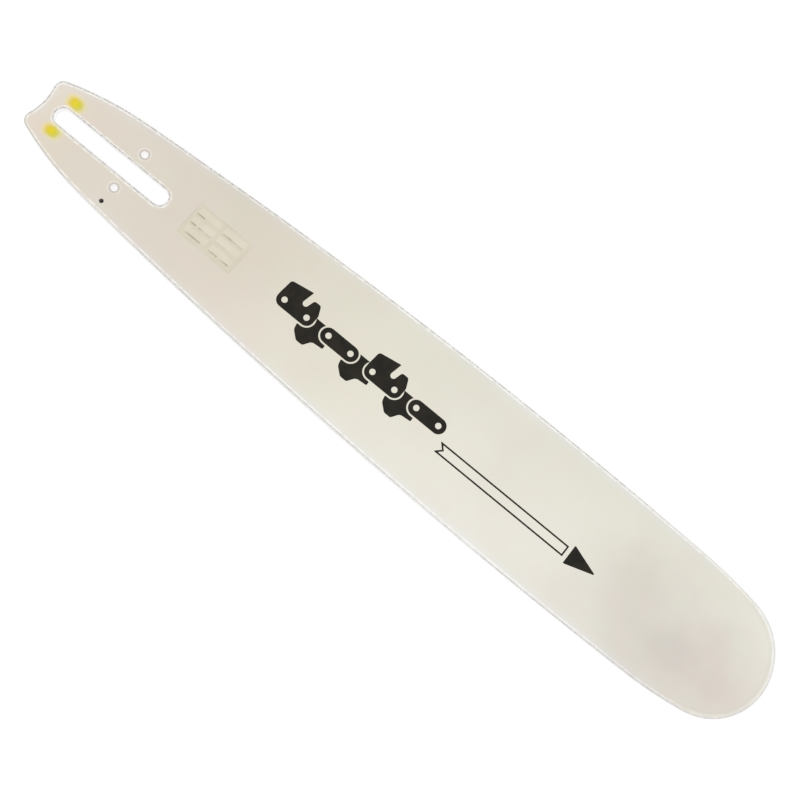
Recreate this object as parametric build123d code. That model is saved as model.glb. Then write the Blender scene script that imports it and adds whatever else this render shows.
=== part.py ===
from build123d import *
from math import cos, radians, sin, sqrt
import os

# Chainsaw guide bar of the solid, hard-nosed kind, lying flat.
# +Y runs from the tail to the nose, +Z is up, and the origin is the stud slot's centre on the lower face.

# Plate
thickness = 5.0
bar_width = 101.4
nose_reach = 570.5
notch_reach = 59.4

# Outline, as arcs that run into one another
nose_inset = 5.4
shoulder_radius = 318.0
belly_radius = 4200.0
belly_to_tip = 192.5
tail_radius = 245.0
tail_width = 39.6
tail_width_at = 60.0
horn_radius = 7.0
notch_radius = 40.0

# Saw end: slot for the bar studs, tensioner holes and oil inlets
slot_length = 96.0
slot_width = 12.2
tension_hole_diameter = 5.0
tension_hole_spacing = 31.0
tension_hole_ahead = 15.7
oil_hole_diameter = 2.8
oil_hole_ahead = 15.5
oil_hole_to_groove_floor = 0.5

# Rim: groove for the chain's drive links, and broken edges
groove_width = 1.6
groove_depth = 9.0
rail_chamfer = 0.6
hole_chamfer = 0.4

# Ground land round the hard-faced nose, a narrow band on both faces
land_width = 3.6
land_half_angle = 70.0
land_drop = 0.15

# How far the cutters run past the plate
overrun = 3.0


def meeting_point(centre_a, radius_a, centre_b, radius_b):
    """The point at radius_a from centre_a and radius_b from centre_b, left of the line from a to b."""
    span = centre_b - centre_a
    along = (span.length**2 + radius_a**2 - radius_b**2) / (2 * span.length)
    across = sqrt(radius_a**2 - along**2)
    forward = span.normalized()
    left = Vector(-forward.Y, forward.X)
    return centre_a + forward * along + left * across


def beyond(centre_a, centre_b, distance):
    """The point that lies distance past centre_b, on the line from centre_a through centre_b."""
    return centre_b + (centre_b - centre_a).normalized() * distance


def arc(centre, start, end):
    """The shorter arc about centre from start to end."""
    middle = ((start - centre).normalized() + (end - centre).normalized()).normalized()
    return ThreePointArc(start, centre + middle * (start - centre).length, end)


def mirrored(point):
    """The same point on the bar's other side."""
    return Vector(-point.X, point.Y)


# Centres of the right-hand side's arcs. Each arc touches the next inside or, at the notch, outside.
half_width = bar_width / 2
nose_radius = half_width - nose_inset
nose_centre = Vector(0, nose_reach - nose_radius)
belly_centre = Vector(half_width - belly_radius, nose_reach - belly_to_tip)
shoulder_centre = meeting_point(
    nose_centre, shoulder_radius - nose_radius, belly_centre, belly_radius - shoulder_radius
)
tail_side = Vector(tail_width / 2, -tail_width_at)
tail_centre = meeting_point(belly_centre, belly_radius - tail_radius, tail_side, tail_radius)
notch_centre = Vector(0, -notch_reach - notch_radius)
horn_centre = meeting_point(
    tail_centre, tail_radius - horn_radius, notch_centre, notch_radius + horn_radius
)


def rail_arcs(inset, tail_end):
    """The nose and both sides as arcs, moved inwards by inset. tail_end is where the right side stops."""
    nose_end = beyond(shoulder_centre, nose_centre, nose_radius - inset)
    shoulder_end = beyond(belly_centre, shoulder_centre, shoulder_radius - inset)
    belly_end = beyond(belly_centre, tail_centre, tail_radius - inset)
    stations = [
        (shoulder_centre, nose_end, shoulder_end),
        (belly_centre, shoulder_end, belly_end),
        (tail_centre, belly_end, tail_end),
    ]
    arcs = [arc(nose_centre, mirrored(nose_end), nose_end)]
    for centre, start, end in stations:
        arcs.append(arc(centre, start, end))
        arcs.append(arc(mirrored(centre), mirrored(start), mirrored(end)))
    return arcs


def plate_profile():
    """The bar's outline with its slot and tensioner holes."""
    tail_end = beyond(tail_centre, horn_centre, horn_radius)
    horn_end = notch_centre + (horn_centre - notch_centre).normalized() * notch_radius
    edges = rail_arcs(0, tail_end)
    edges.append(arc(horn_centre, tail_end, horn_end))
    edges.append(arc(mirrored(horn_centre), mirrored(tail_end), mirrored(horn_end)))
    edges.append(arc(notch_centre, horn_end, mirrored(horn_end)))
    profile = make_face(edges)
    profile -= SlotOverall(slot_length, slot_width, rotation=90)
    for side in (1, -1):
        hole = Circle(tension_hole_diameter / 2)
        profile -= Pos(side * tension_hole_spacing / 2, tension_hole_ahead) * hole
    return profile


def break_edges(plate):
    """Chamfers the rails' outer edges, and more lightly the rims of the slot and the holes."""
    faces = plate.faces().sort_by(Axis.Z)
    rail_edges = faces[0].outer_wire().edges() + faces[-1].outer_wire().edges()
    plate = chamfer(rail_edges, rail_chamfer)
    faces = plate.faces().sort_by(Axis.Z)
    hole_edges = [
        edge for face in (faces[0], faces[-1]) for wire in face.inner_wires() for edge in wire.edges()
    ]
    return chamfer(hole_edges, hole_chamfer)


def side_at(station, inset):
    """Half the bar's width at a station, measured to the side arc that is moved inwards by inset."""
    belly_end = beyond(belly_centre, tail_centre, tail_radius - inset)
    if station > belly_end.Y:
        centre, radius = belly_centre, belly_radius - inset
    else:
        centre, radius = tail_centre, tail_radius - inset
    return centre.X + sqrt(radius**2 - (station - centre.Y) ** 2)


def groove_cut():
    """The chain groove: a slab round the bar's core, open along both rails, round the nose and at the horns."""
    slab_start = horn_centre.Y - horn_radius - overrun
    slab_end = nose_reach + overrun
    slab_size = Rectangle(bar_width + 2 * overrun, slab_end - slab_start)
    slab = Pos(0, (slab_start + slab_end) / 2) * slab_size
    core_start = slab_start - overrun
    core_tail = Vector(side_at(core_start, groove_depth), core_start)
    core_edges = rail_arcs(groove_depth, core_tail)
    core_edges.append(Line(core_tail, mirrored(core_tail)))
    groove = extrude(slab - make_face(core_edges), groove_width)
    return Pos(0, 0, (thickness - groove_width) / 2) * groove


def oil_drill():
    """An oil inlet on the upper face: it goes through one rail wall and ends inside the groove."""
    floor_inset = groove_depth - oil_hole_to_groove_floor - oil_hole_diameter / 2
    place = Pos(side_at(oil_hole_ahead, floor_inset), oil_hole_ahead, thickness / 2)
    return place * extrude(Circle(oil_hole_diameter / 2), thickness)


def land_cut():
    """The band ground off the upper face round the nose. Its ends run out over the edge in straight lines."""
    angle = radians(land_half_angle)
    inner_radius = nose_radius - land_width
    arc_end = nose_centre + Vector(sin(angle), cos(angle)) * inner_radius
    run_out = sqrt(nose_radius**2 - inner_radius**2) + 2 * overrun
    line_end = arc_end + Vector(cos(angle), -sin(angle)) * run_out
    inner_edges = [
        arc(nose_centre, mirrored(arc_end), arc_end),
        Line(arc_end, line_end),
        Line(line_end, mirrored(line_end)),
        Line(mirrored(line_end), mirrored(arc_end)),
    ]
    block_depth = nose_reach - line_end.Y + overrun
    block = Pos(0, line_end.Y + block_depth / 2) * Rectangle(bar_width, block_depth)
    band = extrude(block - make_face(inner_edges), land_drop + overrun)
    return Pos(0, 0, thickness - land_drop) * band


def turned_over(cutter):
    """The same cutter for the lower face: the bar is reversible, by half a turn about its long axis."""
    return Pos(0, 0, thickness / 2) * Rot(0, 180, 0) * Pos(0, 0, -thickness / 2) * cutter


guide_bar = break_edges(extrude(plate_profile(), thickness))
guide_bar -= groove_cut()
for face_cut in (oil_drill(), land_cut()):
    guide_bar -= face_cut
    guide_bar -= turned_over(face_cut)
guide_bar.label = "guide_bar"

os.makedirs("parts", exist_ok=True)
export_step(guide_bar, "parts/guide_bar.step")
print("box", guide_bar.bounding_box(), "volume", guide_bar.volume, "solids", len(guide_bar.solids()))
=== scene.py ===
from math import asin, atan2, ceil, cos, pi, radians, sin, sqrt, tan

import bmesh
import bpy
from mathutils import Matrix, Vector


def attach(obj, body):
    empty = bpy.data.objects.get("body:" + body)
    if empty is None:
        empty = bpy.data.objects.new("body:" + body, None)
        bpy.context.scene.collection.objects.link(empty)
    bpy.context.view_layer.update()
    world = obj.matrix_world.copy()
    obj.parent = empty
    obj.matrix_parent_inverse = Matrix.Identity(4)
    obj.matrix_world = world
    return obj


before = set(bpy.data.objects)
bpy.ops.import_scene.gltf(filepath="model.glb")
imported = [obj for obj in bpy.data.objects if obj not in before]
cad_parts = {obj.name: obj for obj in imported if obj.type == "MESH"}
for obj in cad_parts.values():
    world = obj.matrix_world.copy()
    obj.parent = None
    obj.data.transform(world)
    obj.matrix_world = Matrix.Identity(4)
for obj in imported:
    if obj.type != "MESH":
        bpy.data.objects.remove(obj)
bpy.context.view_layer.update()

# Guide bar: one plate of hardened steel, cut to outline, grooved round its rim and ground along its edges.
# A satin off-white coat covers both faces and the groove, but not the ground edges or the land on the nose.
# The solid keeps its own shape, and its finish is made here. Sizes are in millimetres.
MM = 0.001
thickness = 5.0
bar_width = 101.4
nose_reach = 570.5
notch_reach = 59.4
nose_inset = 5.4
shoulder_radius = 318.0
belly_radius = 4200.0
belly_to_tip = 192.5
tail_radius = 245.0
tail_width = 39.6
tail_width_at = 60.0
horn_radius = 7.0
notch_radius = 40.0
slot_length = 96.0
slot_width = 12.2
tension_hole_radius = 2.5
tension_hole_at = (15.5, 15.7)
oil_hole_radius = 1.4
oil_hole_at = (27.9, 15.5)
groove_width = 1.6
land_width = 3.6
land_half_angle = radians(70.0)


def meeting_point(centre_a, radius_a, centre_b, radius_b):
    """The point at radius_a from centre_a and radius_b from centre_b, left of the line from a to b."""
    span = centre_b - centre_a
    along = (span.length**2 + radius_a**2 - radius_b**2) / (2 * span.length)
    across = sqrt(radius_a**2 - along**2)
    forward = span.normalized()
    return centre_a + forward * along + Vector((-forward.y, forward.x)) * across


def beyond(centre_a, centre_b, distance):
    """The point that lies distance past centre_b, on the line from centre_a through centre_b."""
    return centre_b + (centre_b - centre_a).normalized() * distance


half_width = bar_width / 2
nose_radius = half_width - nose_inset
nose_centre = Vector((0, nose_reach - nose_radius))
belly_centre = Vector((half_width - belly_radius, nose_reach - belly_to_tip))
shoulder_centre = meeting_point(
    nose_centre, shoulder_radius - nose_radius, belly_centre, belly_radius - shoulder_radius
)
tail_side = Vector((tail_width / 2, -tail_width_at))
tail_centre = meeting_point(belly_centre, belly_radius - tail_radius, tail_side, tail_radius)
notch_centre = Vector((0, -notch_reach - notch_radius))
horn_centre = meeting_point(
    tail_centre, tail_radius - horn_radius, notch_centre, notch_radius + horn_radius
)
shoulder_start = beyond(shoulder_centre, nose_centre, nose_radius).y
belly_start = beyond(belly_centre, shoulder_centre, shoulder_radius).y
tail_start = beyond(belly_centre, tail_centre, tail_radius).y

# Where the finish changes: a soft step across to the oil inlet's side, one forwards from the tail's end,
# and two stretches along the bar, each with the step that it starts with and the step that it ends with.
inlet_side = (10.0, 20.0)
tail_end = (-25.0, -5.0)
wide_stretch = (100.0, 180.0, 280.0, 370.0)
narrow_stretch = (340.0, 400.0, 500.0, 530.0)


def add_node(tree, kind, inputs=(), **settings):
    """A new node with its settings. Each input is set to a value, or linked if it is given a socket."""
    node = tree.nodes.new(kind)
    for name, value in settings.items():
        setattr(node, name, value)
    for name, value in dict(inputs).items():
        if isinstance(value, bpy.types.NodeSocket):
            tree.links.new(value, node.inputs[name])
        else:
            node.inputs[name].default_value = value
    return node


def calc(tree, operation, first, second=0.0):
    """What one Math node makes of one or two values."""
    return add_node(tree, "ShaderNodeMath", {0: first, 1: second}, operation=operation).outputs[0]


def base_plus(tree, base, value, amount):
    """The base, with amount times the value added to it."""
    return calc(tree, "ADD", base, calc(tree, "MULTIPLY", value, amount))


def flat_place(tree, across, along):
    """A place in the bar's plane, made of its two values."""
    return add_node(tree, "ShaderNodeCombineXYZ", {"X": across, "Y": along}).outputs[0]


def flat_vector(point):
    """A point or direction in the bar's plane as a vector with no height."""
    return (point[0], point[1], 0.0)


def distance_to(tree, place, point):
    """How far a place is from a flat point."""
    sockets = {0: place, 1: flat_vector(point)}
    return add_node(tree, "ShaderNodeVectorMath", sockets, operation="DISTANCE").outputs["Value"]


def offset_from(tree, place, point):
    """The way from a flat point to a place."""
    sockets = {0: place, 1: flat_vector(point)}
    return add_node(tree, "ShaderNodeVectorMath", sockets, operation="SUBTRACT").outputs[0]


def dot_with(tree, place, direction):
    """How far a place lies along a flat direction."""
    sockets = {0: place, 1: flat_vector(direction)}
    return add_node(tree, "ShaderNodeVectorMath", sockets, operation="DOT_PRODUCT").outputs["Value"]


def stretched(tree, place, scale):
    """The place with each of its axes scaled."""
    return add_node(tree, "ShaderNodeVectorMath", {0: place, 1: scale}, operation="MULTIPLY").outputs[0]


def rise(tree, value, start, end):
    """A soft step from 0 where the value is at start to 1 where it is at end."""
    sockets = {"Value": value, "From Min": start, "From Max": end}
    return add_node(tree, "ShaderNodeMapRange", sockets, interpolation_type="SMOOTHSTEP").outputs[0]


def fall(tree, value, start, end):
    """A soft step from 1 where the value is at start to 0 where it is at end."""
    return calc(tree, "SUBTRACT", 1.0, rise(tree, value, start, end))


def between(tree, value, start, full, fading, end):
    """A soft step up from start to full, and a soft step down from fading to end."""
    return calc(tree, "MULTIPLY", rise(tree, value, start, full), fall(tree, value, fading, end))


def noise(tree, place, scale, detail=3.0):
    """Soft noise from 0 to 1, with scale patches to each unit of place."""
    sockets = {"Vector": place, "Scale": scale, "Detail": detail}
    return add_node(tree, "ShaderNodeTexNoise", sockets).outputs[0]


def swing(tree, place, scale):
    """Soft noise about 0."""
    return calc(tree, "SUBTRACT", noise(tree, place, scale), 0.5)


def patches(tree, place, scale, low, high, detail=3.0):
    """Soft patches: 0 where the noise is under low, and 1 where it is over high."""
    return rise(tree, noise(tree, place, scale, detail), low, high)


def choose(tree, share, first, second):
    """The first value where share is 0, and the second where it is 1."""
    return add_node(tree, "ShaderNodeMix", {0: share, 2: first, 3: second}).outputs[0]


def tint(tree, share, first, second, blend_type="MIX"):
    """The first colour where share is 0, and where it is 1 the second, or what the blend makes of both."""
    sockets = {0: share, 6: first, 7: second}
    return add_node(tree, "ShaderNodeMix", sockets, data_type="RGBA", blend_type=blend_type).outputs[2]


def toned(tree, share, colour, tone):
    """The colour as it is where share is 0, and multiplied by the tone where it is 1."""
    return tint(tree, share, colour, (*tone, 1.0), "MULTIPLY")


def shade(red, green, blue):
    """A colour given as it shows on a screen, from 0 to 255, as the shader's linear colour."""
    linear = []
    for part in (red, green, blue):
        share = part / 255
        linear.append(share / 12.92 if share <= 0.04045 else ((share + 0.055) / 1.055) ** 2.4)
    return (*linear, 1.0)


def new_group(name, inputs, outputs):
    """An empty shader node group with sockets of those names and kinds, and their ends inside it."""
    tree = bpy.data.node_groups.new(name, "ShaderNodeTree")
    for in_out, sockets in (("INPUT", inputs), ("OUTPUT", outputs)):
        for socket_name, kind in sockets.items():
            tree.interface.new_socket(socket_name, in_out=in_out, socket_type="NodeSocket" + kind)
    return tree, tree.nodes.new("NodeGroupInput").outputs, tree.nodes.new("NodeGroupOutput").inputs


def put_out(tree, result, values):
    """Links values to the outputs of their group."""
    for name, value in values.items():
        tree.links.new(value, result[name])


def place_group():
    """Object coordinates in millimetres, whole and as separate values."""
    axes = ("X", "Y", "Z")
    outputs = {"Place": "Vector", **dict.fromkeys(axes, "Float")}
    tree, _, result = new_group("place_in_millimetres", {}, outputs)
    metres = add_node(tree, "ShaderNodeTexCoord").outputs["Object"]
    millimetres = stretched(tree, metres, (1 / MM, 1 / MM, 1 / MM))
    split = add_node(tree, "ShaderNodeSeparateXYZ", {0: millimetres}).outputs
    put_out(tree, result, {"Place": millimetres, **{axis: split[axis] for axis in axes}})
    return tree


def rim_depth(tree, flat, along):
    """How far inside the bar's outline a place is."""
    depth = calc(tree, "SUBTRACT", nose_radius, distance_to(tree, flat, nose_centre))
    for centre, radius, start in (
        (shoulder_centre, shoulder_radius, shoulder_start),
        (belly_centre, belly_radius, belly_start),
        (tail_centre, tail_radius, tail_start),
    ):
        inside = calc(tree, "SUBTRACT", radius, distance_to(tree, flat, centre))
        depth = choose(tree, calc(tree, "LESS_THAN", along, start), depth, inside)
    from_notch = calc(tree, "SUBTRACT", distance_to(tree, flat, notch_centre), notch_radius)
    depth = calc(tree, "MINIMUM", depth, from_notch)
    to_side = (horn_centre - tail_centre).normalized()
    to_notch = (notch_centre - horn_centre).normalized()
    off_horn = offset_from(tree, flat, horn_centre)
    past_side = calc(tree, "GREATER_THAN", dot_with(tree, off_horn, (to_side.y, -to_side.x)), 0.0)
    past_notch = calc(tree, "GREATER_THAN", dot_with(tree, off_horn, (-to_notch.y, to_notch.x)), 0.0)
    in_horn = calc(tree, "SUBTRACT", horn_radius, distance_to(tree, flat, horn_centre))
    return choose(tree, calc(tree, "MULTIPLY", past_side, past_notch), depth, in_horn)


def slot_distance(tree, side, along):
    """How far outside the stud slot a place is."""
    straight = (slot_length - slot_width) / 2
    nearest = calc(tree, "MAXIMUM", calc(tree, "MINIMUM", along, straight), -straight)
    off_slot = flat_place(tree, side, calc(tree, "SUBTRACT", along, nearest))
    return calc(tree, "SUBTRACT", distance_to(tree, off_slot, (0, 0)), slot_width / 2)


def land_depth(tree, flat):
    """How far inside the nose's ground land a place is, past its inner arc or a straight run-out."""
    outwards = (sin(land_half_angle), cos(land_half_angle))
    backwards = (outwards[1], -outwards[0])
    off_centre = offset_from(tree, flat, nose_centre)
    running_out = calc(tree, "GREATER_THAN", dot_with(tree, off_centre, backwards), 0.0)
    reach = choose(
        tree, running_out, distance_to(tree, flat, nose_centre), dot_with(tree, off_centre, outwards)
    )
    return calc(tree, "SUBTRACT", reach, nose_radius - land_width)


def rim_shift(tree, across, side, along):
    """How much further in than usual the bare strip reaches along the outline, which was ground by hand.
    On the inlet's side that is more in one stretch and less in two, and on the other more at the tail."""
    inlet_side_shift = 0.22
    other_side_shift = 0.34
    notch_shift = 0.1
    past_notch = (8.0, 15.0)
    past_tail = (50.0, 110.0)
    narrow = calc(tree, "MAXIMUM", between(tree, along, *narrow_stretch), fall(tree, along, *tail_end))
    wider = calc(tree, "SUBTRACT", between(tree, along, *wide_stretch), narrow)
    on_inlet_side = calc(tree, "MULTIPLY", wider, inlet_side_shift)
    at_tail = choose(tree, rise(tree, side, *past_notch), notch_shift, other_side_shift)
    on_other_side = calc(tree, "MULTIPLY", at_tail, fall(tree, along, *past_tail))
    return choose(tree, rise(tree, across, *inlet_side), on_other_side, on_inlet_side)


def slot_shift(tree, across, along):
    """How much further in the bare strip reaches round the slot: more by the inlet and at the front end."""
    shift_across = 0.032
    front_shift = 0.12
    front_end = (42.0, 48.0)
    at_front = calc(tree, "MULTIPLY", rise(tree, along, *front_end), front_shift)
    return base_plus(tree, at_front, across, shift_across)


def moved_in(tree, distance, shift):
    """The distance from an edge, counted from a line moved inwards by shift. The edge itself stays at 0."""
    full_shift_at = 0.3
    moved = calc(tree, "MULTIPLY", shift, rise(tree, distance, 0.0, full_shift_at))
    return calc(tree, "SUBTRACT", distance, moved)


edge_names = ("Rim", "Slot", "Hole", "Edge", "Land")


def edge_group():
    """How far a place is from the outline, the slot, the tensioner holes and the nearest of these edges, and
    how far inside the land. At the outline and the slot it allows for a wider or narrower bare strip."""
    tree, given, result = new_group(
        "edge_distance", {"X": "Float", "Y": "Float"}, dict.fromkeys(edge_names, "Float")
    )
    across = given["X"]
    along = given["Y"]
    side = calc(tree, "ABSOLUTE", across)
    flat = flat_place(tree, side, along)
    rim = moved_in(tree, rim_depth(tree, flat, along), rim_shift(tree, across, side, along))
    slot = moved_in(tree, slot_distance(tree, side, along), slot_shift(tree, across, along))
    hole = calc(tree, "SUBTRACT", distance_to(tree, flat, tension_hole_at), tension_hole_radius)
    edge = calc(tree, "MINIMUM", calc(tree, "MINIMUM", rim, slot), hole)
    land = land_depth(tree, flat)
    put_out(tree, result, dict(zip(edge_names, (rim, slot, hole, edge, land))))
    return tree


def film_group():
    """The skin of a dried film of paint or ink: an orange-peel height and a slow change of gloss."""
    tree, given, result = new_group(
        "paint_film",
        {"Place": "Vector", "Peel": "Float", "Patch": "Float"},
        {"Height": "Float", "Gloss": "Float"},
    )
    height = noise(tree, given["Place"], given["Peel"], detail=2.0)
    gloss = noise(tree, given["Place"], given["Patch"])
    put_out(tree, result, {"Height": height, "Gloss": gloss})
    return tree


def coat_along(tree, given):
    """The coat's tone from the tail to the nose, partly its own tone and partly painted shade, and a little
    darker along the rail away from the oil inlet and the lamp, which is painted shade.
    """
    dull_stretch = (0.0, 80.0, 420.0, 600.0)
    dull_tone = (0.945, 0.95, 0.93)
    share_along = add_node(
        tree,
        "ShaderNodeMapRange",
        {"Value": given["Y"], "From Min": -notch_reach, "From Max": nose_reach},
    ).outputs[0]
    # The ramp's light and dark along the bar are partly the coat's own tone and partly painted shade.
    ramp = add_node(tree, "ShaderNodeValToRGB", {0: share_along})
    stops = ramp.color_ramp.elements
    stops[0].color = shade(235, 225, 210)
    stops[1].color = shade(235, 233, 222)
    for position, colour in (
        (0.10, shade(226, 218, 205)),
        (0.28, shade(228, 220, 206)),
        (0.46, shade(234, 231, 217)),
        (0.62, shade(236, 233, 222)),
    ):
        stops.new(position).color = colour
    # Painted shade: a little darker towards the side away from the inlet and the lamp.
    off_inlet = fall(tree, given["X"], -half_width, half_width)
    dull = calc(tree, "MULTIPLY", off_inlet, between(tree, given["Y"], *dull_stretch))
    return toned(tree, dull, ramp.outputs[0], dull_tone)


def clouded(tree, given, colour):
    """The colour with slow, warm clouds and a faint pink and green mottle."""
    cloud_tone = (0.97, 0.955, 0.95)
    pink = (1.0, 0.985, 0.985, 1.0)
    green = (0.99, 1.0, 0.99, 1.0)
    clouds = patches(tree, given["Place"], scale=0.014, low=0.35, high=0.7, detail=2.0)
    mottle = patches(tree, given["Place"], scale=0.07, low=0.35, high=0.65, detail=2.0)
    colour = toned(tree, clouds, colour, cloud_tone)
    return tint(tree, 1.0, colour, tint(tree, mottle, pink, green), "MULTIPLY")


def cool_by_rim(tree, given, colour):
    """The colour, a little bluer beside the outline, but not on the nose or at the inlet side's tail."""
    cool_band = (2.0, 9.0)
    cool_tone = (1.0, 1.02, 1.075)
    past_tail = (-20.0, 60.0)
    other_side = (5.0, 15.0)
    before_nose = (470.0, 530.0)
    off_tail = calc(
        tree, "MAXIMUM", rise(tree, given["Y"], *past_tail), fall(tree, given["X"], *other_side)
    )
    stretch = calc(tree, "MULTIPLY", off_tail, fall(tree, given["Y"], *before_nose))
    cool = calc(tree, "MULTIPLY", fall(tree, given["Rim"], *cool_band), stretch)
    return toned(tree, cool, colour, cool_tone)


def pale_by_edges(tree, given, colour):
    """The colour, almost white in the patchy strip beside an edge: a painted highlight along the edges. The
    strip is fainter round the holes, and along one stretch of the rail away from the inlet."""
    strip_start = 1.15
    strip_middle = 1.8
    strip_end = 2.9
    share_at_hole = 0.35
    least_share = 0.25
    faint_stretch = (10.0, 50.0, 120.0, 190.0)
    faint_side = (-30.0, -20.0)
    faint_share = 0.65
    long_edge = calc(tree, "MINIMUM", given["Rim"], given["Slot"])
    by_long_edge = fall(tree, long_edge, strip_middle, strip_end)
    by_hole = calc(tree, "MULTIPLY", fall(tree, given["Hole"], strip_middle, strip_end), share_at_hole)
    paler = calc(tree, "MAXIMUM", by_long_edge, by_hole)
    paler = calc(tree, "MULTIPLY", rise(tree, given["Edge"], strip_start, strip_middle), paler)
    patchy = patches(tree, given["Place"], scale=0.3, low=0.36, high=0.6)
    paler = calc(tree, "MULTIPLY", paler, choose(tree, patchy, least_share, 1.0))
    darker = calc(
        tree,
        "MULTIPLY",
        between(tree, given["Y"], *faint_stretch),
        fall(tree, given["X"], *faint_side),
    )
    paler = calc(tree, "MULTIPLY", paler, choose(tree, darker, 1.0, faint_share))
    # Painted highlight: the strip beside the edges goes almost white.
    return tint(tree, paler, colour, shade(254, 253, 249))


def dull_by_land(tree, given, colour):
    """The colour, a little duller just behind the land, and less so on the inlet's side."""
    dull_band = (-2.6, -0.4)
    dull_tone = (0.955, 0.955, 0.955)
    towards_inlet = (-5.0, 35.0)
    inlet_share = 0.3
    share = choose(tree, rise(tree, given["X"], *towards_inlet), 1.0, inlet_share)
    dull = calc(tree, "MULTIPLY", rise(tree, given["Land"], *dull_band), share)
    return toned(tree, dull, colour, dull_tone)


def coat_group():
    """The coat's colour, with its painted shade and the painted highlight beside its edges, from a place on
    the bar and its distances from the edges.
    """
    tree, given, result = new_group(
        "coat_tone",
        {"Place": "Vector", "X": "Float", "Y": "Float", **dict.fromkeys(edge_names, "Float")},
        {"Colour": "Color"},
    )
    colour = coat_along(tree, given)
    for change in (clouded, cool_by_rim, pale_by_edges, dull_by_land):
        colour = change(tree, given, colour)
    put_out(tree, result, {"Colour": colour})
    return tree


places = place_group()
edges = edge_group()
films = film_group()
coats = coat_group()


def new_material(name):
    """A material with a Principled shader, and the place on the surface in millimetres."""
    material = bpy.data.materials.new(name)
    material.use_nodes = True
    tree = material.node_tree
    shader = tree.nodes["Principled BSDF"]
    spot = add_node(tree, "ShaderNodeGroup", node_tree=places).outputs
    return material, tree, shader, spot


def edge_distances(tree, spot):
    """How far a place is from each kind of edge."""
    return add_node(tree, "ShaderNodeGroup", {"X": spot["X"], "Y": spot["Y"]}, node_tree=edges).outputs


def film_skin(tree, spot, peel, patch):
    """The height and the gloss of a dried film, with that many marks and patches to each millimetre."""
    sockets = {"Place": spot["Place"], "Peel": peel, "Patch": patch}
    return add_node(tree, "ShaderNodeGroup", sockets, node_tree=films).outputs


def coat_tone(tree, spot, edge):
    """The coat's colour at a place."""
    sockets = {name: spot[name] for name in ("Place", "X", "Y")}
    sockets.update({name: edge[name] for name in edge_names})
    return add_node(tree, "ShaderNodeGroup", sockets, node_tree=coats).outputs["Colour"]


def dress(tree, shader, colour, roughness, height, strength, depth):
    """Gives the shader its colour, its roughness, and a bump of that strength and depth."""
    sockets = {"Strength": strength, "Distance": depth * MM, "Height": height}
    bump = add_node(tree, "ShaderNodeBump", sockets)
    tree.links.new(colour, shader.inputs["Base Color"])
    tree.links.new(roughness, shader.inputs["Roughness"])
    tree.links.new(bump.outputs[0], shader.inputs["Normal"])


def edge_line(tree, spot, patchy):
    """The grey line where a broken edge meets the face. On one side it is worn, and paler towards the nose.
    On the inlet's side it is more even, paler beside the slot, and darker where the bare strip is wide:
    painted shade there, against the lamp's reflection in the flat steel."""
    unworn = (400.0, 500.0)
    past_slot = (30.0, 70.0)
    wide_shade_tone = (0.83, 0.83, 0.83)
    worn = tint(tree, patchy, shade(188, 186, 184), shade(222, 220, 216))
    worn = tint(tree, rise(tree, spot["Y"], *unworn), worn, shade(226, 225, 222))
    even = tint(tree, patchy, shade(198, 196, 194), shade(213, 211, 208))
    by_slot = between(tree, spot["Y"], *tail_end, *past_slot)
    even = tint(tree, by_slot, even, shade(222, 218, 211))
    even = tint(tree, fall(tree, spot["Y"], *tail_end), even, shade(208, 204, 196))
    # Painted shade: the line is darker along the wide stretch, where the lamp lights the flat steel.
    even = toned(tree, between(tree, spot["Y"], *wide_stretch), even, wide_shade_tone)
    return tint(tree, rise(tree, spot["X"], *inlet_side), worn, even)


def land_steel(tree, spot, edge, patchy):
    """The nose's ground land: satin, a little greyer along its rim, and warmer towards the inlet's side."""
    towards_inlet = (-25.0, 30.0)
    inner_band = (0.2, 1.7)
    rim_band = (0.9, 1.6)
    warm_rim_tone = (0.93, 0.92, 0.915)
    streak_tone = (0.95, 0.95, 0.945)
    warm = rise(tree, spot["X"], *towards_inlet)
    rim = tint(tree, patchy, shade(214, 213, 210), shade(226, 225, 222))
    rim = toned(tree, warm, rim, warm_rim_tone)
    middle = tint(tree, warm, shade(237, 236, 230), shade(223, 218, 209))
    inner = tint(tree, warm, shade(224, 222, 212), shade(220, 214, 203))
    land = tint(tree, rise(tree, edge["Land"], *inner_band), inner, middle)
    streaks = patches(tree, spot["Place"], scale=0.12, low=0.35, high=0.65)
    land = toned(tree, streaks, land, streak_tone)
    return tint(tree, rise(tree, edge["Rim"], *rim_band), rim, land)


def bare_steel(tree, spot, edge, grinding):
    """Bare steel: near white on walls and broken edges, as painted light, greyer where they meet the face,
    satin on the land.
    """
    wall_end = (0.0, 0.2)
    break_end = (0.1, 0.4)
    land_start = (0.0, 0.3)
    hole_line = 1.5
    patchy = patches(tree, spot["Place"], scale=0.45, low=0.38, high=0.62)
    # The walls' near white is far paler than ground steel: painted light, so that they fade into the white
    # floor.
    wall = tint(tree, grinding, shade(248, 247, 245), shade(255, 254, 253))
    at_hole = calc(tree, "LESS_THAN", edge["Hole"], hole_line)
    line = tint(tree, at_hole, edge_line(tree, spot, patchy), shade(205, 197, 189))
    past_wall = rise(tree, edge["Edge"], *wall_end)
    past_break = calc(tree, "MAXIMUM", rise(tree, edge["Edge"], *break_end), at_hole)
    colour = tint(tree, calc(tree, "MULTIPLY", past_wall, past_break), wall, line)
    on_land = calc(tree, "MULTIPLY", past_wall, rise(tree, edge["Land"], *land_start))
    return tint(tree, on_land, colour, land_steel(tree, spot, edge, patchy))


def blot(tree, place, centre, width, length):
    """A soft oval stain: 1 in its middle and 0 at its rim."""
    size = (2 / width, 2 / length, 0.0)
    away = stretched(tree, offset_from(tree, place, centre), size)
    return fall(tree, distance_to(tree, away, (0, 0)), 0.0, 1.0)


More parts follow.
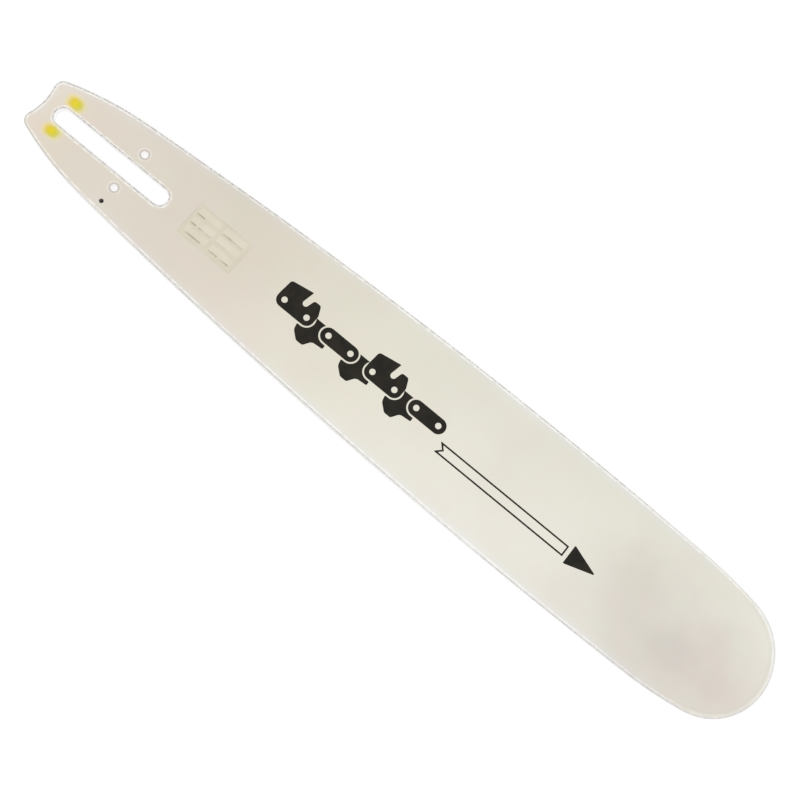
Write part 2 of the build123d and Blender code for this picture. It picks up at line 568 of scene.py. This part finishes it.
def heat_stained(tree, spot, colour):
    """The colour with the faint brown and grey stains that welding left round the nose."""
    drift = 40.0
    sockets = {"Vector": spot["Place"], "Scale": 0.03, "Detail": 3.0}
    drift_noise = add_node(tree, "ShaderNodeTexNoise", sockets).outputs["Color"]
    wander = stretched(tree, offset_from(tree, drift_noise, (0.5, 0.5)), (drift, drift, 0.0))
    swirl = add_node(tree, "ShaderNodeVectorMath", {0: spot["Place"], 1: wander}).outputs[0]
    for centre, width, length, tone in (
        ((22.0, 502.0), 142.0, 232.0, (0.855, 0.83, 0.83)),
        ((15.0, 532.0), 84.0, 116.0, (1.0, 0.965, 0.98)),
        ((18.0, 498.0), 50.0, 62.0, (0.95, 0.955, 0.965)),
        ((-12.0, 457.0), 62.0, 62.0, (0.955, 0.945, 0.945)),
    ):
        colour = toned(tree, blot(tree, swirl, centre, width, length), colour, tone)
    return colour


# How far from a wall or a face a place still counts as being on it
face_skin = 0.02


def face_cover(tree, spot, edge, from_middle):
    """1 where the coat covers a face, up to a frayed line short of every edge and of the land."""
    coat_limit = (1.05, 1.4)
    land_limit = (-0.5, 1.0)
    frayed = 0.35
    frayed_at_land = 1.6
    face_margin = 0.3
    on_face = calc(tree, "GREATER_THAN", from_middle, thickness / 2 - face_margin)
    fray = swing(tree, spot["Place"], scale=0.35)
    off_edge = rise(tree, base_plus(tree, edge["Edge"], fray, frayed), *coat_limit)
    off_land = fall(tree, base_plus(tree, edge["Land"], fray, frayed_at_land), *land_limit)
    return calc(tree, "MULTIPLY", on_face, calc(tree, "MULTIPLY", off_edge, off_land))


def groove_cover(tree, edge, from_middle):
    """1 where the coat covers the chain groove, from just inside its mouth. The groove is painted near white
    there, as painted light.
    """
    mouth = (0.05, 0.15)
    between_walls = calc(tree, "LESS_THAN", from_middle, groove_width / 2 + face_skin)
    return calc(tree, "MULTIPLY", between_walls, rise(tree, edge["Edge"], *mouth))


def oil_and_shade_cover(tree, spot, above_middle, from_middle):
    """1 where an inlet is dark: its wall, with old oil and painted shade, and the rim of the inlet on each
    face.
    """
    wall_limit = (0.1, 0.4)
    dark_rim = 0.36
    flat = flat_place(tree, calc(tree, "ABSOLUTE", spot["X"]), spot["Y"])
    past_wall = calc(tree, "SUBTRACT", distance_to(tree, flat, oil_hole_at), oil_hole_radius)
    below_face = calc(tree, "LESS_THAN", from_middle, thickness / 2 - face_skin)
    on_wall = calc(tree, "MULTIPLY", below_face, fall(tree, past_wall, *wall_limit))
    inlet_face = calc(tree, "GREATER_THAN", calc(tree, "MULTIPLY", spot["X"], above_middle), 0.0)
    on_rim = calc(tree, "MULTIPLY", inlet_face, fall(tree, past_wall, 0.0, dark_rim))
    return calc(tree, "MAXIMUM", on_wall, on_rim)


def grinding_marks(tree, spot, edge):
    """Fine noise drawn out along the edges, as a grinding wheel leaves it."""
    marks_across = 5.0
    marks_along = 0.06
    sockets = {"X": edge["Edge"], "Y": spot["Y"], "Z": spot["Z"]}
    by_edge = add_node(tree, "ShaderNodeCombineXYZ", sockets).outputs[0]
    drawn_out = stretched(tree, by_edge, (marks_across, marks_along, marks_across))
    return noise(tree, drawn_out, 1.0, detail=4.0)


def coated_steel():
    """The coat on faces and in the groove, bare steel at edges and on the land, and oil at the inlets. The
    groove's near white is painted light, and the inlets' dark is partly painted shade.
    """
    material, tree, shader, spot = new_material("coated_steel")
    edge = edge_distances(tree, spot)
    above_middle = calc(tree, "SUBTRACT", spot["Z"], thickness / 2)
    from_middle = calc(tree, "ABSOLUTE", above_middle)
    in_groove = groove_cover(tree, edge, from_middle)
    coated = calc(tree, "MAXIMUM", face_cover(tree, spot, edge, from_middle), in_groove)
    oil_and_shade = oil_and_shade_cover(tree, spot, above_middle, from_middle)
    grinding = grinding_marks(tree, spot, edge)
    film = film_skin(tree, spot, peel=1.6, patch=0.03)

    coat = heat_stained(tree, spot, coat_tone(tree, spot, edge))
    colour = tint(tree, coated, bare_steel(tree, spot, edge, grinding), coat)
    # The groove takes a near-white colour: painted light that lifts its shaded mouth.
    colour = tint(tree, in_groove, colour, shade(253, 252, 249))
    # The inlets go near black: old oil, and painted shade in the hole.
    colour = tint(tree, oil_and_shade, colour, shade(24, 22, 18))
    coat_roughness = base_plus(tree, base=0.40, value=film["Gloss"], amount=0.14)
    steel_roughness = base_plus(tree, base=0.26, value=grinding, amount=0.2)
    roughness = choose(tree, coated, steel_roughness, coat_roughness)
    height = choose(tree, coated, grinding, film["Height"])
    dress(tree, shader, colour, roughness, height, strength=0.12, depth=0.05)
    uncoated = calc(tree, "SUBTRACT", 1.0, coated)
    bare = calc(tree, "MULTIPLY", uncoated, calc(tree, "SUBTRACT", 1.0, oil_and_shade))
    tree.links.new(bare, shader.inputs["Metallic"])
    return material


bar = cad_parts["guide_bar"]
bar.material_slots[0].material = coated_steel()

# Yellow marks: two dabs of paint beside the slot's rear end, touched on by hand over the coat.
# Each is a low dried blister with a thin stain round it, which stops short where it meets the slot.
dab_height = 0.04
dab_sunk = 0.03
dab_flatness = 8
dab_rings = 12
dab_segments = 64
dab_off_slot = 0.45
dab_squareness = 2.5
dab_sway = 0.03
dab_ripple = 0.02
stain_reach = 2.2


def stain_size(angle, lean):
    """How far out the stain's rim is at an angle, in half sizes of the dab: a squarish, uneven oval."""
    wobble = 1 + dab_sway * sin(2 * angle + lean) + dab_ripple * sin(5 * angle - lean)
    roundness = abs(cos(angle)) ** dab_squareness + abs(sin(angle)) ** dab_squareness
    return stain_reach * wobble / roundness ** (1 / dab_squareness)


def paint_dab(shell, film, centre, width, length, lean):
    """Adds a dab and its stain to the mesh. film is how full it is: 1 in its middle, 0 at the rim."""
    top = shell.verts.new(Vector((*centre, thickness + dab_height)) * MM)
    top[film] = 1.0
    inner = [top]
    room = abs(centre[0]) - slot_width / 2 - dab_off_slot
    for ring in range(1, dab_rings + 1):
        share = ring / dab_rings
        height = dab_height - (dab_height + dab_sunk) * share**dab_flatness
        row = []
        for step in range(dab_segments):
            angle = 2 * pi * step / dab_segments
            size = stain_size(angle, lean)
            across = width / 2 * size * cos(angle)
            along = length / 2 * size * sin(angle)
            reach = share * min(1.0, room / abs(across)) if across * centre[0] < 0 else share
            corner = Vector((centre[0] + across * reach, centre[1] + along * reach, thickness + height))
            row.append(shell.verts.new(corner * MM))
            row[-1][film] = 1.0 - reach
        for step in range(dab_segments):
            following = (step + 1) % dab_segments
            if ring == 1:
                shell.faces.new((top, row[step], row[following]))
            else:
                shell.faces.new((inner[step], row[step], row[following], inner[following]))
        inner = row
    shell.faces.new(reversed(inner))


def yellow_paint():
    """Marker paint, greener towards the nose, densest inside the dab's rim, with a pale stain round it."""
    film_swing = 0.12
    green_swing = 12.0
    greener_from = (-45.0, -37.0)
    paint_rise = (-0.38, 0.28)
    rim_step = (-0.05, 0.05)
    dense_end = (0.1, 0.4)
    stain_start = (-0.4, -0.1)
    dense_tone = (0.955, 0.955, 1.0)
    stain_tone = (1.05, 1.04, 1.0)
    material, tree, shader, spot = new_material("yellow_paint")
    uneven = swing(tree, spot["Place"], scale=0.4)
    fullness = add_node(tree, "ShaderNodeAttribute", attribute_name="film").outputs["Fac"]
    inside_rim = calc(tree, "SUBTRACT", fullness, 1 - 1 / stain_reach)
    inside_rim = base_plus(tree, inside_rim, uneven, film_swing)
    greener = rise(tree, base_plus(tree, spot["Y"], uneven, green_swing), *greener_from)
    yellow = tint(tree, greener, shade(237, 212, 26), shade(220, 213, 30))
    coat = coat_tone(tree, spot, edge_distances(tree, spot))
    colour = tint(tree, rise(tree, inside_rim, *paint_rise), coat, yellow)
    colour = toned(tree, between(tree, inside_rim, *rim_step, *dense_end), colour, dense_tone)
    colour = toned(tree, between(tree, inside_rim, *stain_start, *rim_step), colour, stain_tone)
    film = film_skin(tree, spot, peel=1.2, patch=0.2)
    roughness = base_plus(tree, base=0.38, value=film["Gloss"], amount=0.16)
    dress(tree, shader, colour, roughness, film["Height"], strength=0.15, depth=0.05)
    return material


def lay_on_bar(name, mesh, material):
    """Puts a finished piece on the bar, which it moves with, and gives it its material."""
    piece = bpy.data.objects.new(name, mesh)
    bpy.context.collection.objects.link(piece)
    mesh.materials.clear()
    mesh.materials.append(material)
    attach(piece, "root")


dabs = bmesh.new()
dab_film = dabs.verts.layers.float.new("film")
paint_dab(dabs, dab_film, centre=(-12.45, -42.0), width=7.7, length=10.7, lean=0.6)
paint_dab(dabs, dab_film, centre=(12.6, -41.2), width=7.2, length=10.3, lean=2.4)
bmesh.ops.recalc_face_normals(dabs, faces=dabs.faces)
dab_mesh = bpy.data.meshes.new("paint_marks")
dabs.to_mesh(dab_mesh)
dabs.free()
dab_mesh.shade_smooth()
lay_on_bar("paint_marks", dab_mesh, yellow_paint())

# Form panel: an empty table of fields, screened on the coat in four tones close to its own, which also paint
# the light and shade of a shallow relief. Its frame and lines are darker than the coat, its ground is
# yellower, and its fields are paler than that: each pale field is a painted highlight, and the dark stroke
# under it a painted shadow.
# Under each field lie its strokes, given by column and row as shares of the field's length.
panel_centre = (-1.6, 89.0)
panel_length = 46.0
panel_height = 26.0
panel_corner = 1.5
panel_line = 0.6
field_length = 18.5
field_height = 4.4
field_corner = 0.6
field_pitch = (21.5, 7.6)
entry_line = 1.2
entry_corner = 0.5
entry_strokes = (
    (((0.0, 0.34),), ((0.0, 0.26), (0.38, 0.58), (0.66, 1.0)), ((0.12, 0.8),)),
    (((0.05, 0.95),), ((0.0, 0.5),), ((0.0, 0.42), (0.58, 0.96))),
)
print_top = 0.02
print_sunk = 0.02
ground_top = 0.012


def rounded_outline(corners, step=radians(12)):
    """Points along a closed outline. Each corner is a place and its rounding radius, or 0 if sharp."""
    points = []
    for index, (along, up, radius) in enumerate(corners):
        corner = Vector((along, up))
        if not radius:
            points.append(corner)
            continue
        before = (Vector(corners[index - 1][:2]) - corner).normalized()
        after = (Vector(corners[(index + 1) % len(corners)][:2]) - corner).normalized()
        half = before.angle(after) / 2
        centre = corner + (before + after).normalized() * radius / sin(half)
        start = corner + before * radius / tan(half) - centre
        end = corner + after * radius / tan(half) - centre
        turn = atan2(start.cross(end), start.dot(end))
        steps = max(2, ceil(abs(turn) / step))
        for count in range(steps + 1):
            points.append(centre + Matrix.Rotation(turn * count / steps, 2) @ start)
    return points


def box_outline(centre, length, height, radius):
    """The outline of a rectangle with round corners."""
    return rounded_outline(
        [
            (centre[0] + along * length / 2, centre[1] + up * height / 2, radius)
            for along, up in ((-1, -1), (1, -1), (1, 1), (-1, 1))
        ]
    )


def film_mesh(name, origin, shapes, top=print_top):
    """A thin closed film of ink, as high above the face as top. Each shape is its outline and those of its
    holes, with points along the bar and up across it."""
    shell = bmesh.new()
    for shape in shapes:
        sides = []
        for outline in shape:
            ring = []
            for along, up in outline:
                place = Vector((origin[0] - up, origin[1] + along, thickness + top))
                ring.append(shell.verts.new(place * MM))
            for first, second in zip(ring, ring[1:] + ring[:1]):
                sides.append(shell.edges.new((first, second)))
        bmesh.ops.triangle_fill(shell, edges=sides, use_beauty=True)
    lower = bmesh.ops.extrude_face_region(shell, geom=shell.faces[:], use_keep_orig=True)["geom"]
    for element in lower:
        if isinstance(element, bmesh.types.BMVert):
            element.co.z = (thickness - print_sunk) * MM
    bmesh.ops.recalc_face_normals(shell, faces=shell.faces)
    mesh = bpy.data.meshes.new(name)
    shell.to_mesh(mesh)
    shell.free()
    return mesh


def screen_ink(name, darker, paler, base_roughness=0.42, specular=0.5):
    """A screened film of ink, a little uneven in tone and gloss."""
    material, tree, shader, spot = new_material(name)
    film = film_skin(tree, spot, peel=2.2, patch=0.12)
    colour = tint(tree, rise(tree, film["Gloss"], start=0.35, end=0.65), darker, paler)
    roughness = base_plus(tree, base_roughness, film["Gloss"], amount=0.16)
    dress(tree, shader, colour, roughness, film["Height"], strength=0.12, depth=0.03)
    shader.inputs["Specular IOR Level"].default_value = specular
    return material


panel_frame = [
    box_outline((0, 0), panel_length, panel_height, panel_corner),
    box_outline(
        (0, 0), panel_length - 2 * panel_line, panel_height - 2 * panel_line, panel_corner - panel_line
    ),
]
panel_lines = []
panel_fields = []
for column, rows in zip((-0.5, 0.5), entry_strokes):
    for row, strokes in zip((1, 0, -1), rows):
        field = (column * field_pitch[0], row * field_pitch[1] + entry_line)
        panel_fields.append([box_outline(field, field_length, field_height, field_corner)])
        for start, end in strokes:
            middle = (
                field[0] + field_length * ((start + end) / 2 - 0.5),
                field[1] - (field_height + entry_line) / 2,
            )
            stroke_length = field_length * (end - start)
            panel_lines.append([box_outline(middle, stroke_length, entry_line, entry_corner)])
lay_on_bar(
    "panel_frame",
    film_mesh("panel_frame", panel_centre, [panel_frame]),
    screen_ink("panel_frame_ink", shade(208, 200, 184), shade(219, 211, 196)),
)
lay_on_bar(
    "panel_ground",
    film_mesh("panel_ground", panel_centre, [[panel_frame[1]]], ground_top),
    screen_ink("panel_ground_ink", shade(217, 209, 188), shade(220, 212, 191)),
)
# The strokes: dark ink that is also the painted shadow under each field.
lay_on_bar(
    "panel_lines",
    film_mesh("panel_lines", panel_centre, panel_lines),
    screen_ink("panel_line_ink_and_shadow", shade(182, 172, 150), shade(214, 206, 188)),
)
# The fields: pale ink that is also a painted highlight.
lay_on_bar(
    "panel_fields",
    film_mesh("panel_fields", panel_centre, panel_fields),
    screen_ink("panel_field_ink_and_highlight", shade(222, 214, 194), shade(227, 219, 200)),
)

# Chain mark: a stretch of saw chain, screened on the coat in black, as a sign of what runs round the bar.
# Cutters and tie straps take turns, and a drive link with its tang joins each one to the next.
chain_start = (0.5, 151.8)
chain_pitch = 19.2
link_radius = 5.7
link_corner = 0.99 * link_radius
link_gap = 1.2
rivet_radius = 2.2
rivet_sides = 24
tooth_top = 16.5
gauge_top = 12.5
gullet_floor = 5.0
drive_top = 4.2
drive_overlap = 2.6
tang_bottom = -16.5


def arc_points(centre, radius, start, end, count=14):
    """Points along an arc, as sharp corners of an outline."""
    angles = [start + (end - start) * step / count for step in range(count + 1)]
    return [(centre[0] + radius * cos(angle), centre[1] + radius * sin(angle), 0) for angle in angles]


def rivet_holes():
    """The two round holes of a link, left bare."""
    holes = []
    for along in (0, chain_pitch):
        circle = arc_points((along, 0), rivet_radius, 0, 2 * pi, rivet_sides)
        holes.append(rounded_outline(circle[:-1]))
    return holes


def tie_strap():
    """A plain side link: an oblong with round ends."""
    length = chain_pitch + 2 * link_radius
    oblong = box_outline((chain_pitch / 2, 0), length, 2 * link_radius, link_corner)
    return [oblong, *rivet_holes()]


def cutter():
    """A side link with a tooth at its rear and a depth gauge at its front."""
    rear = -link_radius
    front = chain_pitch + link_radius
    gauge_front = front - 3.2
    gauge_rear = front - 8.6
    gullet_front = front - 10.6
    gullet_rear = front - 15.0
    tooth_tip = front - 12.6
    heel = rear + 1.0
    heel_top = tooth_top - 3.0
    heel_bottom = 2.0
    outline = rounded_outline(
        [
            (rear, -link_radius, link_corner),
            (front, -link_radius, link_corner),
            (front, link_radius, 3.0),
            (gauge_front, gauge_top, 2.2),
            (gauge_rear, gauge_top, 2.0),
            (gullet_front, gullet_floor, 2.4),
            (gullet_rear, gullet_floor, 2.4),
            (tooth_tip, tooth_top, 0.5),
            (heel, heel_top, 2.5),
            (rear, heel_bottom, 3.0),
        ]
    )
    return [outline, *rivet_holes()]


def drive_link():
    """A middle link, hollowed at both ends round its neighbours, with a tang that hooks forwards below."""
    clear = link_radius + link_gap
    top_angle = asin(drive_top / clear)
    rear = -drive_overlap
    front = chain_pitch + drive_overlap
    rear_bottom = -11.5
    tang_rear = 4.2
    tang_front = 9.6
    hook = (13.4, -10.6)
    front_bottom = -9.8
    outline = rounded_outline(
        [
            *arc_points((0, 0), clear, top_angle, -pi / 2),
            (rear, -clear, 0.6),
            (rear + 1.0, rear_bottom, 5.0),
            (tang_rear, tang_bottom, 2.4),
            (tang_front, tang_bottom, 1.8),
            (*hook, 4.0),
            (front, front_bottom, 0.6),
            (front, -clear, 0.6),
            *arc_points((chain_pitch, 0), clear, 3 * pi / 2, pi - top_angle),
        ]
    )
    return [outline]


def chain_tree():
    """Copies of the three kinds of link, set one pitch apart in their order on a chain."""
    tree = bpy.data.node_groups.new("chain_row", "GeometryNodeTree")
    inputs = {
        "Cutter": "NodeSocketObject",
        "Tie Strap": "NodeSocketObject",
        "Drive Link": "NodeSocketObject",
        "Pitch": "NodeSocketFloat",
        "Ink": "NodeSocketMaterial",
    }
    for name, kind in inputs.items():
        tree.interface.new_socket(name, in_out="INPUT", socket_type=kind)
    tree.interface.new_socket("Row", in_out="OUTPUT", socket_type="NodeSocketGeometry")
    given = tree.nodes.new("NodeGroupInput").outputs
    joined = tree.nodes.new("GeometryNodeJoinGeometry")
    link_rows = (("Cutter", 0, 4, 2), ("Drive Link", 1, 2, 3), ("Tie Strap", 2, 4, 2))
    for link, first, every, count in link_rows:
        start = flat_place(tree, 0.0, calc(tree, "MULTIPLY", given["Pitch"], first))
        step = flat_place(tree, 0.0, calc(tree, "MULTIPLY", given["Pitch"], every))
        row = add_node(
            tree, "GeometryNodeMeshLine", {"Count": count, "Start Location": start, "Offset": step}
        )
        shape = add_node(tree, "GeometryNodeObjectInfo", {"Object": given[link]})
        copies = add_node(
            tree,
            "GeometryNodeInstanceOnPoints",
            {"Points": row.outputs[0], "Instance": shape.outputs["Geometry"]},
        )
        tree.links.new(copies.outputs[0], joined.inputs[0])
    real = add_node(tree, "GeometryNodeRealizeInstances", {0: joined.outputs[0]}).outputs[0]
    inked = add_node(tree, "GeometryNodeSetMaterial", {"Geometry": real, "Material": given["Ink"]})
    tree.links.new(inked.outputs[0], tree.nodes.new("NodeGroupOutput").inputs[0])
    return tree


black_ink = screen_ink(
    "black_ink", shade(26, 23, 17), shade(38, 34, 26), base_roughness=0.40, specular=0.15
)
link_shapes = {"Cutter": cutter(), "Tie Strap": tie_strap(), "Drive Link": drive_link()}
chain_values = {"Pitch": chain_pitch * MM, "Ink": black_ink}
for link_name, link_shape in link_shapes.items():
    link_mesh = film_mesh(link_name, chain_start, [link_shape])
    chain_values[link_name] = bpy.data.objects.new(link_name, link_mesh)
    bpy.context.collection.objects.link(chain_values[link_name])
row_tree = chain_tree()
row_maker = bpy.data.objects.new("row_maker", bpy.data.meshes.new("row_maker"))
bpy.context.collection.objects.link(row_maker)
row_modifier = row_maker.modifiers.new("chain_row", "NODES")
row_modifier.node_group = row_tree
for socket in row_tree.interface.items_tree:
    if socket.in_out == "INPUT":
        row_modifier[socket.identifier] = chain_values[socket.name]
view_graph = bpy.context.evaluated_depsgraph_get()
chain_mesh = bpy.data.meshes.new_from_object(row_maker.evaluated_get(view_graph), depsgraph=view_graph)
chain_mesh.name = "chain_mark"
row_maker.modifiers.remove(row_modifier)
for helper in (row_maker, *(chain_values[link_name] for link_name in link_shapes)):
    bpy.data.objects.remove(helper)
lay_on_bar("chain_mark", chain_mesh, black_ink)

# Running arrow: points the way that the chain runs along this side, screened in the same black.
# Its shaft is an outline with a notched tail, and its head is solid.
arrow_start = (11.5, 294.0)
shaft_length = 112.0
shaft_height = 8.4
shaft_corner = 0.3
arrow_line = 1.2
head_from = 115.0
head_length = 23.0
head_height = 15.0
head_corner = 0.6


def shaft_outline(inset):
    """The shaft with its notched tail, moved inwards by inset."""
    half_height = shaft_height / 2 - inset
    front = shaft_length - inset
    tail = inset * (1 + sqrt(2))
    notch = shaft_height / 2 + inset * sqrt(2)
    return rounded_outline(
        [
            (tail, -half_height, shaft_corner),
            (front, -half_height, shaft_corner),
            (front, half_height, shaft_corner),
            (tail, half_height, shaft_corner),
            (notch, 0.0, 0),
        ]
    )


arrow_head = rounded_outline(
    [
        (head_from, -head_height / 2, head_corner),
        (head_from + head_length, 0.0, head_corner),
        (head_from, head_height / 2, head_corner),
    ]
)
arrow_shapes = [[shaft_outline(0.0), shaft_outline(arrow_line)], [arrow_head]]
lay_on_bar("running_arrow", film_mesh("running_arrow", arrow_start, arrow_shapes), black_ink)

# Floor: a plain white sheet under the bar, wide enough to fill every view.
# It catches the bar's soft shadow, and shows as plain white in what mirrors it.
floor_half = 4.0
floor_true_white = 0.9
floor_lit_white = 0.30
floor_own_white = 0.745
floor_mirror_white = 1.0


def ray_kinds(tree):
    """1 for rays from the camera, and 1 for those that a shiny or clear surface sends on."""
    path = add_node(tree, "ShaderNodeLightPath").outputs
    sent_on = calc(tree, "MAXIMUM", path["Is Glossy Ray"], path["Is Transmission Ray"])
    return path["Is Camera Ray"], sent_on


def white_floor():
    """Matt white. What the camera sees is partly its own glow, so that only the shadow stands out."""
    material = bpy.data.materials.new("white_floor")
    material.use_nodes = True
    tree = material.node_tree
    shader = tree.nodes["Principled BSDF"]
    shader.inputs["Roughness"].default_value = 1.0
    shader.inputs["Specular IOR Level"].default_value = 0.0
    shader.inputs["Emission Color"].default_value = (1.0, 1.0, 1.0, 1.0)
    seen, mirrored = ray_kinds(tree)
    colour = choose(tree, seen, floor_true_white, floor_lit_white)
    colour = choose(tree, mirrored, colour, 0.0)
    glow = calc(tree, "MULTIPLY", seen, floor_own_white)
    glow = choose(tree, mirrored, glow, floor_mirror_white)
    tree.links.new(colour, shader.inputs["Base Color"])
    tree.links.new(glow, shader.inputs["Emission Strength"])
    return material


floor_mesh = bpy.data.meshes.new("floor")
floor_mesh.from_pydata(
    [(x * floor_half, y * floor_half, 0.0) for x, y in ((-1, -1), (1, -1), (1, 1), (-1, 1))],
    [],
    [(0, 1, 2, 3)],
)
floor_mesh.materials.append(white_floor())
floor = bpy.data.objects.new("floor", floor_mesh)
bpy.context.collection.objects.link(floor)

# Light: an even white surround, and one large soft lamp high over the bar's front half.
# The surround lights the bar at a plain level, and shows as plain white where it is seen or mirrored.
surround_light = 0.82
surround_shown_white = 1.0
world = bpy.data.worlds.new("surround")
bpy.context.scene.world = world
world.use_nodes = True
surround_tree = world.node_tree
surround = surround_tree.nodes["Background"]
surround.inputs["Color"].default_value = (1.0, 1.0, 1.0, 1.0)
surround_shown = calc(surround_tree, "MAXIMUM", *ray_kinds(surround_tree))
surround_level = choose(surround_tree, surround_shown, surround_light, surround_shown_white)
surround_tree.links.new(surround_level, surround.inputs["Strength"])
lamp_data = bpy.data.lights.new("overhead_lamp", "AREA")
lamp_data.shape = "SQUARE"
lamp_data.size = 0.9
lamp_data.energy = 2.4
lamp = bpy.data.objects.new("overhead_lamp", lamp_data)
lamp.location = (0.25, 0.36, 1.1)
lamp_aim = Vector((0.0, 0.3, 0.0))
lamp.rotation_euler = (lamp_aim - lamp.location).to_track_quat("-Z", "Y").to_euler()
bpy.context.collection.objects.link(lamp)

# Camera: above the bar, tipped about its long axis towards the side with the oil inlet.
# The bar then runs down the picture from upper left to lower right.
camera_tilt = radians(11.076)
picture_slant = radians(39.432)
camera_distance = 742.5 * MM
camera_aim = Vector((3.39 * MM, 255.08 * MM, thickness * MM))
sensor = 36.0
picture_pixels = 800
focal_pixels = 1100
camera_data = bpy.data.cameras.new("camera")
camera_data.sensor_width = sensor
camera_data.lens = sensor * focal_pixels / picture_pixels
camera_data.clip_start = 0.01
camera = bpy.data.objects.new("camera", camera_data)
tipped = Matrix.Rotation(camera_tilt, 4, "Y")
turned = Matrix.Rotation(pi / 2 + picture_slant, 4, "Z")
backed = Matrix.Translation((0.0, 0.0, camera_distance))
camera.matrix_world = Matrix.Translation(camera_aim) @ tipped @ turned @ backed
bpy.context.collection.objects.link(camera)
bpy.context.scene.camera = camera
bpy.context.scene.view_settings.view_transform = "Standard"
